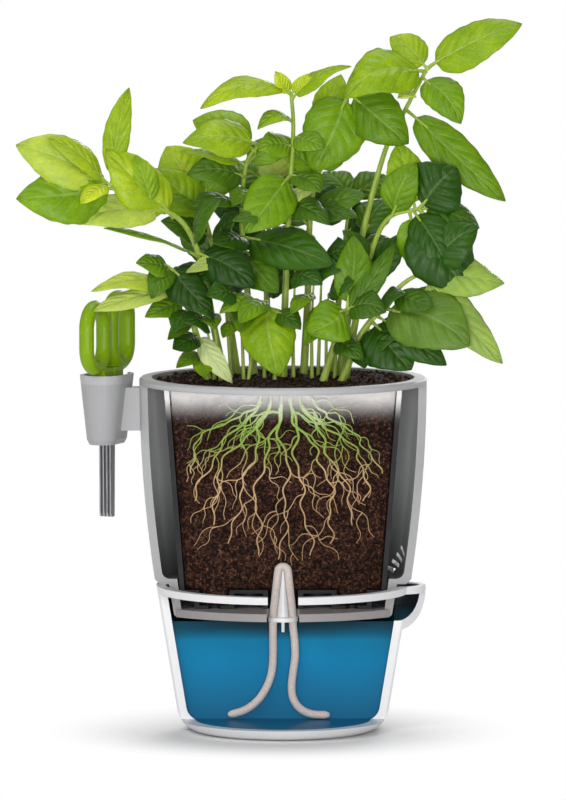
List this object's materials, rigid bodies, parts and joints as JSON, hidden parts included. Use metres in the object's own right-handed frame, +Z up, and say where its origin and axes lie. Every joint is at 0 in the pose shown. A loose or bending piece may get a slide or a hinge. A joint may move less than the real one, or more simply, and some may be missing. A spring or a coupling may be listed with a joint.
{
  "type": "self watering planter",
  "caption": "Round self watering herb planter shown as a cutaway, with a wick-fed reservoir, a potted basil plant and multi-blade herb scissors in a side sleeve",
  "frame": {"origin": "centre of the reservoir's foot, on the table", "axes": "+Z up; the open front faces -Y; the scissor sleeve is at -X and the filling spout at +X"},
  "size_m": [0.2439, 0.14, 0.3467],
  "materials": {
    "white_plastic": "smooth white moulded plastic",
    "grey_plastic": "satin light grey moulded plastic",
    "black_plastic": "thin black nursery pot plastic",
    "green_plastic": "smooth lime green moulded plastic",
    "blade_steel": "brushed stainless steel",
    "water": "still blue water",
    "wick": "soft beige felted cord",
    "soil": "dark crumbly potting soil",
    "root": "pale roots, green near the stem and tan at the tips",
    "stem": "pale green stems",
    "leaf": "fresh green basil leaves with veins"
  },
  "bodies": {
    "base": {"reservoir": "white_plastic", "water": "water"},
    "pot": {"outer_pot": "grey_plastic", "scissor_sleeve": "grey_plastic", "wick_spike": "white_plastic", "wick_loop": "wick", "wick_left_leg": "wick", "wick_right_leg": "wick"},
    "nursery": {"nursery_pot": "black_plastic", "potting_soil": "soil", "roots": "root", "basil_stems": "stem", "basil_leaves": "leaf"},
    "scissors": {"handle_front": "green_plastic", "front_blade_1": "blade_steel", "front_blade_2": "blade_steel", "front_blade_3": "blade_steel", "front_blade_4": "blade_steel", "pivot_screw": "blade_steel", "pivot_nut": "blade_steel", "blade_spacers": "blade_steel"},
    "scissors_back": {"handle_back": "green_plastic", "back_blade_1": "blade_steel", "back_blade_2": "blade_steel", "back_blade_3": "blade_steel", "back_blade_4": "blade_steel"}
  },
  "joints": [
    {"name": "pot_lift", "type": "slide", "parent": "base", "child": "pot", "axis": [0, 0, 1], "range_m": [0, 0.085]},
    {"name": "nursery_lift", "type": "slide", "parent": "pot", "child": "nursery", "axis": [0, 0, 1], "range_m": [0, 0.12]},
    {"name": "scissors_lift", "type": "slide", "parent": "pot", "child": "scissors", "axis": [0, 0, 1], "range_m": [0, 0.075]},
    {"name": "scissors_open", "type": "hinge", "parent": "scissors", "child": "scissors_back", "pos_m": [-0.08576, 0, 0.1538], "axis": [-0.9272, 0.3746, 0], "range_deg": [0, 25]}
  ]
}
